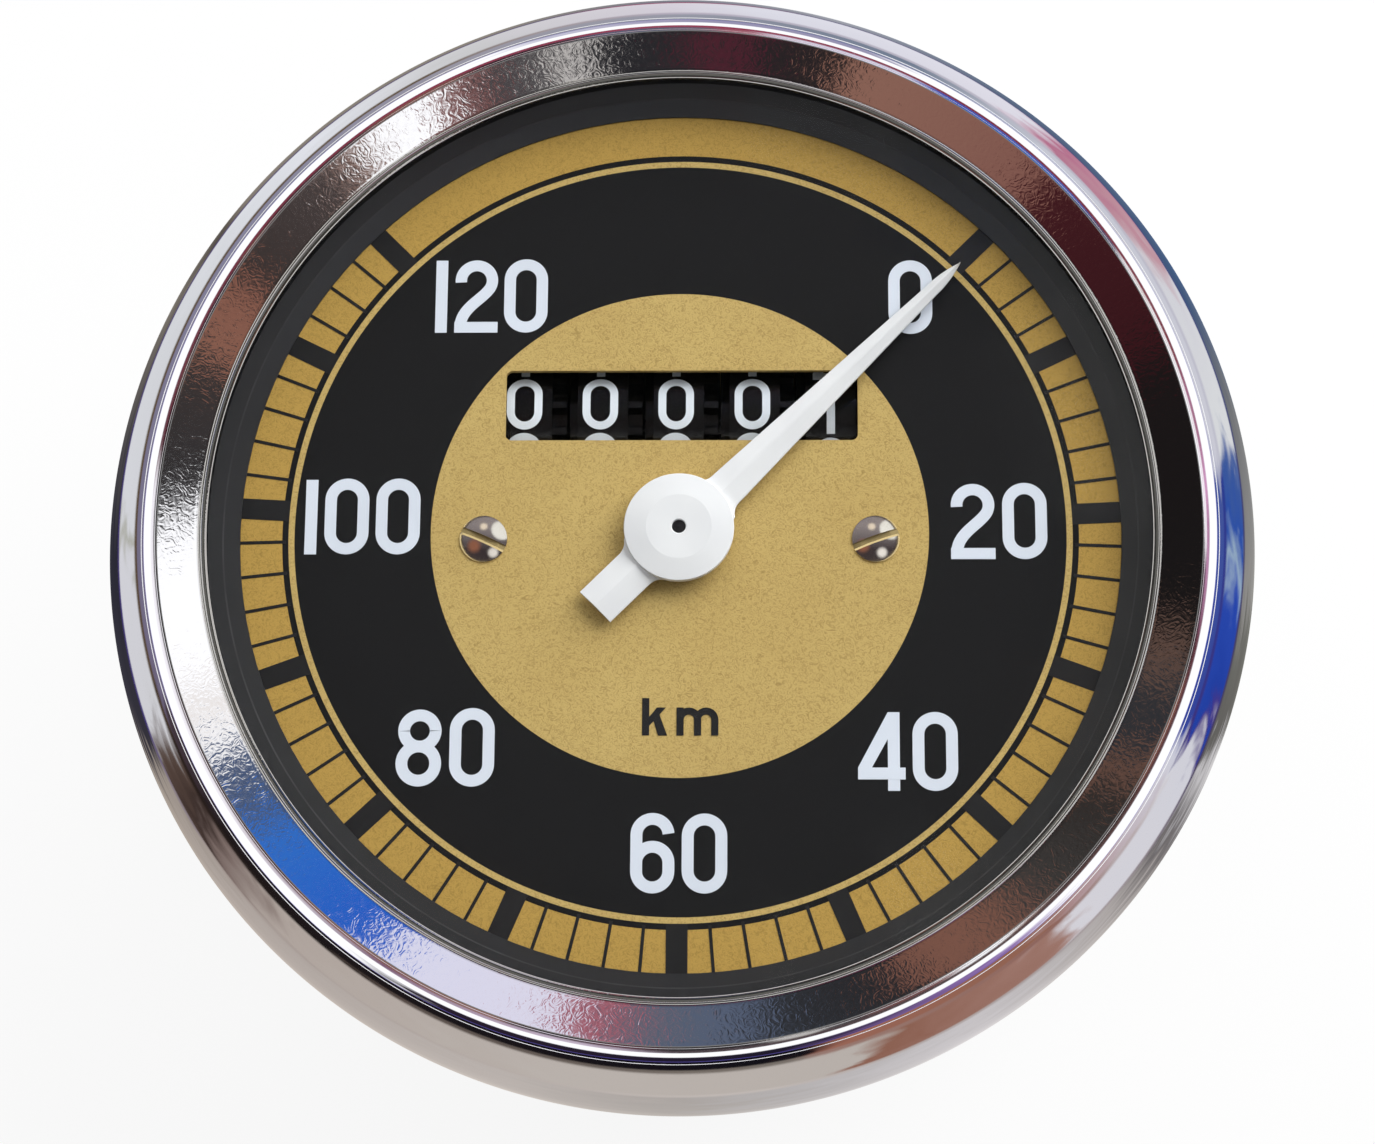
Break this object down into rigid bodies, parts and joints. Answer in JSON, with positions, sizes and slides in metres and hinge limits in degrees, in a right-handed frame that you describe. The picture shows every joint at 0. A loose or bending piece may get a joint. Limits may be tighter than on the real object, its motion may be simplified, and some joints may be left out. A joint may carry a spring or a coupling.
{
  "type": "speedometer",
  "caption": "Round panel speedometer with a chrome bezel, gold and black dial, white pointer and number-wheel distance counter, driven by a cable at the back.",
  "frame": {"origin": "on the instrument's axis, in the plane of the panel that the seal ring rests on", "axes": "+Z along the instrument's axis towards the viewer, +Y towards 12 o'clock, +X towards 3 o'clock"},
  "size_m": [0.088, 0.088, 0.0647],
  "materials": {
    "chrome_plate": "bright chrome plating",
    "clear_glass": "clear polished glass",
    "black_rubber": "matt black rubber",
    "dark_ring": "satin dark grey",
    "dial_black": "matt black print with gold paint",
    "nickel_screw": "nickel plated, lightly worn",
    "brass_parts": "turned brass",
    "white_plastic": "white moulded plastic, satin",
    "turned_steel": "turned and ground steel",
    "spring_bronze": "drawn bronze strip",
    "cup_aluminium": "spun aluminium",
    "magnet_iron": "ground magnet alloy and soft iron",
    "fibre_washer": "red-brown fibre",
    "die_cast": "tumbled die-cast alloy",
    "gear_plastic": "ivory moulded gear plastic",
    "case_paint": "dark grey stove enamel",
    "plated_steel": "zinc plated steel",
    "wheel_black": "black moulded plastic with white figures"
  },
  "bodies": {
    "root": {"bezel_ring": "chrome_plate", "glass": "clear_glass", "glass_gasket": "black_rubber", "spacer_ring": "dark_ring", "dial": "dial_black", "dial_screws": "nickel_screw", "dial_pillars": "brass_parts", "hairspring": "spring_bronze", "regulator_lever": "brass_parts", "stop_pins": "turned_steel", "thrust_washer": "fibre_washer", "flux_ring": "magnet_iron", "movement_frame": "die_cast", "upper_bridge": "die_cast", "bridge_screws": "nickel_screw", "bridge_bush": "brass_parts", "cross_shaft_bushes": "brass_parts", "upright_shaft_bushes": "brass_parts", "wheel_axle": "turned_steel", "pinion_shaft": "turned_steel", "bracket_left": "die_cast", "bracket_right": "die_cast", "bracket_screws": "nickel_screw", "case": "case_paint", "seal_ring": "black_rubber", "cable_nipple": "plated_steel", "frame_screws": "nickel_screw", "mounting_studs": "plated_steel", "lamp_holder": "brass_parts", "lamp_bulb": "clear_glass"},
    "pointer_group": {"pointer": "white_plastic", "pointer_cap": "white_plastic", "pointer_spindle": "turned_steel", "spring_collet": "brass_parts", "stop_arm": "turned_steel", "speed_cup": "cup_aluminium"},
    "drive_group": {"drive_spindle": "turned_steel", "drive_worm": "turned_steel", "magnet": "magnet_iron"},
    "cross_group": {"cross_shaft": "turned_steel", "worm_wheel": "brass_parts", "cross_worm": "turned_steel"},
    "upright_group": {"upright_shaft": "turned_steel", "second_worm_wheel": "brass_parts", "upright_worm": "turned_steel"},
    "units_group": {"number_wheel_5": "wheel_black", "odometer_gear": "gear_plastic"},
    "wheel_1": {"number_wheel_1": "wheel_black"},
    "wheel_2": {"number_wheel_2": "wheel_black"},
    "wheel_3": {"number_wheel_3": "wheel_black"},
    "wheel_4": {"number_wheel_4": "wheel_black"},
    "pinion_1": {"transfer_pinion_1": "gear_plastic"},
    "pinion_2": {"transfer_pinion_2": "gear_plastic"},
    "pinion_3": {"transfer_pinion_3": "gear_plastic"},
    "pinion_4": {"transfer_pinion_4": "gear_plastic"}
  },
  "joints": [
    {"name": "pointer_turn", "type": "hinge", "parent": "root", "child": "pointer_group", "pos_m": [0, 0, 0], "axis": [0, 0, -1], "range_deg": [0, 276], "stiffness_Nm_per_rad": 0.000005, "springref_deg": -20.05},
    {"name": "spindle_turn", "type": "hinge", "parent": "root", "child": "drive_group", "pos_m": [0, 0, -0.04], "axis": [0, 0, -1], "continuous": true},
    {"name": "cross_turn", "type": "hinge", "parent": "root", "child": "cross_group", "pos_m": [0, 0.0074, -0.031], "axis": [1, 0, 0], "continuous": true},
    {"name": "upright_turn", "type": "hinge", "parent": "root", "child": "upright_group", "pos_m": [0.0164, 0.0148, -0.031], "axis": [0, 0, -1], "continuous": true},
    {"name": "units_turn", "type": "hinge", "parent": "root", "child": "units_group", "pos_m": [0.01165, 0.0102, -0.0046], "axis": [1, 0, 0], "continuous": true},
    {"name": "wheel_4_turn", "type": "hinge", "parent": "root", "child": "wheel_4", "pos_m": [0.00575, 0.0102, -0.0046], "axis": [1, 0, 0], "continuous": true},
    {"name": "wheel_3_turn", "type": "hinge", "parent": "root", "child": "wheel_3", "pos_m": [-0.00015, 0.0102, -0.0046], "axis": [1, 0, 0], "continuous": true},
    {"name": "wheel_2_turn", "type": "hinge", "parent": "root", "child": "wheel_2", "pos_m": [-0.00605, 0.0102, -0.0046], "axis": [1, 0, 0], "continuous": true},
    {"name": "wheel_1_turn", "type": "hinge", "parent": "root", "child": "wheel_1", "pos_m": [-0.01195, 0.0102, -0.0046], "axis": [1, 0, 0], "continuous": true},
    {"name": "pinion_4_turn", "type": "hinge", "parent": "root", "child": "pinion_4", "pos_m": [0.0087, 0.01772, -0.00894], "axis": [1, 0, 0], "continuous": true},
    {"name": "pinion_3_turn", "type": "hinge", "parent": "root", "child": "pinion_3", "pos_m": [0.0028, 0.01772, -0.00894], "axis": [1, 0, 0], "continuous": true},
    {"name": "pinion_2_turn", "type": "hinge", "parent": "root", "child": "pinion_2", "pos_m": [-0.0031, 0.01772, -0.00894], "axis": [1, 0, 0], "continuous": true},
    {"name": "pinion_1_turn", "type": "hinge", "parent": "root", "child": "pinion_1", "pos_m": [-0.009, 0.01772, -0.00894], "axis": [1, 0, 0], "continuous": true}
  ],
  "couplings": [
    {"joint": "cross_turn", "follows": "spindle_turn", "ratio": 0.05},
    {"joint": "upright_turn", "follows": "spindle_turn", "ratio": 0.0025},
    {"joint": "units_turn", "follows": "spindle_turn", "ratio": 0.0001},
    {"joint": "wheel_4_turn", "follows": "spindle_turn", "ratio": 0.00001},
    {"joint": "wheel_3_turn", "follows": "spindle_turn", "ratio": 0.000001},
    {"joint": "wheel_2_turn", "follows": "spindle_turn", "ratio": 0.0000001},
    {"joint": "wheel_1_turn", "follows": "spindle_turn", "ratio": 0.00000001},
    {"joint": "pinion_4_turn", "follows": "spindle_turn", "ratio": -0.000025},
    {"joint": "pinion_3_turn", "follows": "spindle_turn", "ratio": -0.0000025},
    {"joint": "pinion_2_turn", "follows": "spindle_turn", "ratio": -0.00000025},
    {"joint": "pinion_1_turn", "follows": "spindle_turn", "ratio": -0.000000025}
  ]
}
